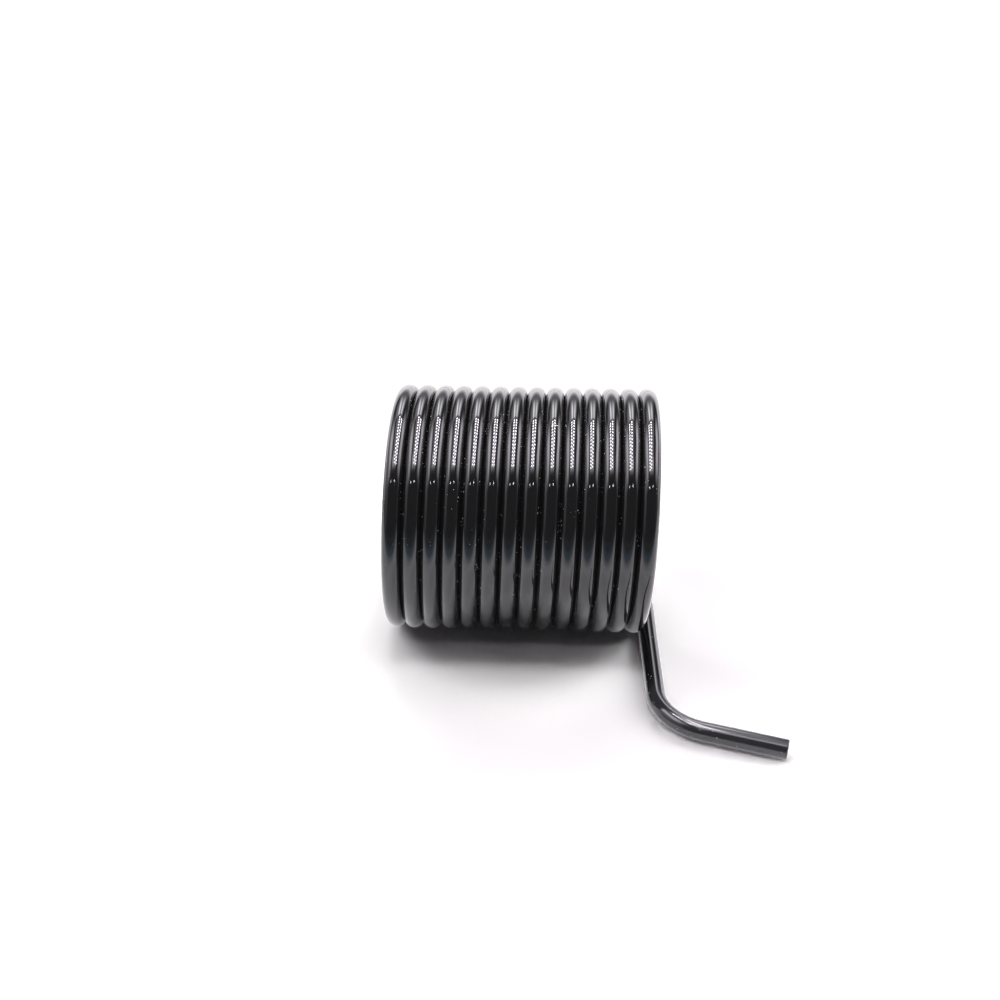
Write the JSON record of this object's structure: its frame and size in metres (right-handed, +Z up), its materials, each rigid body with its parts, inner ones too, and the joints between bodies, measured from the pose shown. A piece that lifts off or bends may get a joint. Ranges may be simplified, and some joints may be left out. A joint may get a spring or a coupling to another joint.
{
  "type": "torsion spring",
  "caption": "Left-hand helical torsion spring of black coated round wire, with a straight rear leg and a front leg that ends in an outward hook.",
  "frame": {"origin": "middle of the coil's axis", "axes": "+X along the coil's axis, towards the hooked front leg; +Y away from the hook, along the rear leg; +Z up, with both legs along the coil's lowest line"},
  "size_m": [0.0799, 0.0956, 0.0515],
  "materials": {
    "coated_wire": "glossy black coating over steel spring wire, with a fine waviness"
  },
  "bodies": {
    "root": {"torsion_spring": "coated_wire"}
  },
  "joints": []
}
